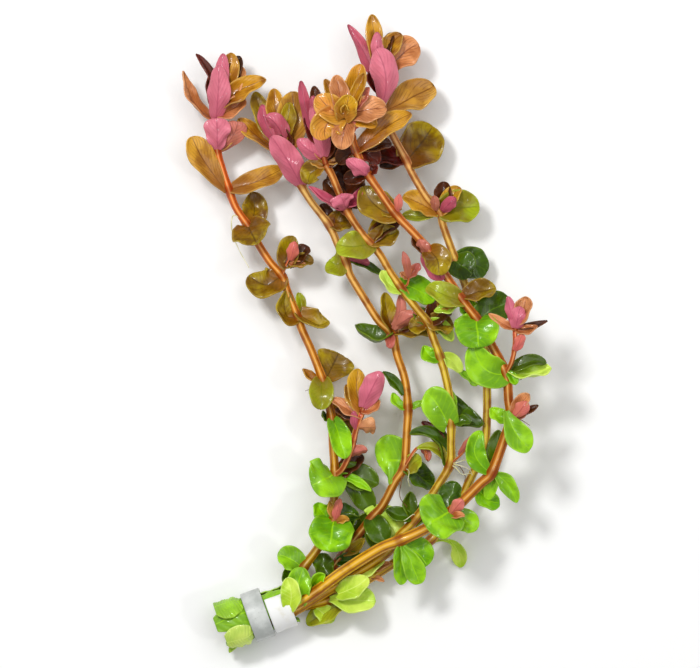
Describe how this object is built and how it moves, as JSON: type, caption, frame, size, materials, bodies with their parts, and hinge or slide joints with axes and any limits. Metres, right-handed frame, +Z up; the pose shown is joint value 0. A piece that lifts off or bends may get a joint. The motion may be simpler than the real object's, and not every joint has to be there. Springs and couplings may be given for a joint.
{
  "type": "cut bunch of an aquatic plant",
  "caption": "Cut bunch of leafy aquatic stems with pink crowns and green lower leaves, held at the cut ends by a soft grey band and a white strip, lying down.",
  "frame": {"origin": "on the plane that the bunch lies on, under the middle of its outline", "axes": "+Z up from that plane, +Y along the bunch from the band to the growing tips, +X across it to the right"},
  "size_m": [0.1108, 0.1901, 0.034],
  "materials": {
    "stem": "wet, orange to yellow brown",
    "leaf_pink": "wet, pink young leaf",
    "leaf_tan": "wet, orange tan young leaf",
    "leaf_gold": "wet, golden brown leaf",
    "leaf_olive": "wet, olive leaf",
    "leaf_brown": "wet, dark brown leaf",
    "leaf_green": "wet, bright green leaf",
    "leaf_lime": "wet, pale lime leaf",
    "leaf_dark": "wet, dark green leaf",
    "band_grey": "satin grey soft plastic",
    "strip_white": "satin white strip"
  },
  "bodies": {
    "root": {"stem_a": "stem", "stem_b": "stem", "stem_c": "stem", "stem_d": "stem", "stem_e": "stem", "branch_a": "stem", "branch_d": "stem", "head_a": "leaf_tan", "head_b": "leaf_tan", "head_c": "leaf_tan", "head_d": "leaf_tan", "head_e": "leaf_tan", "head_branch_a": "leaf_tan", "head_branch_d": "leaf_tan", "leaf_a0_left": "leaf_tan", "leaf_a0_right": "leaf_gold", "leaf_a1_left": "leaf_gold", "leaf_a1_right": "leaf_gold", "leaf_a2_back": "leaf_olive", "leaf_a2_front": "leaf_olive", "leaf_a3_left": "leaf_olive", "leaf_a5_right": "leaf_olive", "leaf_a7_left": "leaf_green", "leaf_a8_front": "leaf_green", "leaf_a9_left": "leaf_green", "leaf_b0_front": "leaf_pink", "leaf_b0_left": "leaf_gold", "leaf_b4_left": "leaf_green", "leaf_b6_left": "leaf_green", "leaf_b6_right": "leaf_dark", "leaf_c2_back": "leaf_brown", "leaf_c3_left": "leaf_olive", "leaf_c4_right": "leaf_green", "leaf_c7_left": "leaf_green", "leaf_c7_right": "leaf_green", "leaf_d1_right": "leaf_gold", "leaf_d3_left": "leaf_olive", "leaf_d5_left": "leaf_lime", "leaf_d5_right": "leaf_olive", "leaf_d6_front": "leaf_green", "leaf_d7_left": "leaf_green", "leaf_d7_right": "leaf_lime", "leaf_d8_front": "leaf_green", "leaf_d9_left": "leaf_green", "leaf_d9_right": "leaf_green", "leaf_d10_left": "leaf_green", "leaf_d11_under": "leaf_lime", "leaf_e0_right": "leaf_tan", "leaf_e1_right": "leaf_gold", "leaf_e1_lower": "leaf_olive", "leaf_e2_right": "leaf_olive", "leaf_e3_right": "leaf_dark", "leaf_e6_drop": "leaf_lime", "leaf_base_lime": "leaf_lime", "leaf_base_front": "leaf_lime", "leaf_base_back": "leaf_lime", "leaf_base_under": "leaf_lime", "band_grey": "band_grey", "strip_white": "strip_white"}
  },
  "joints": []
}
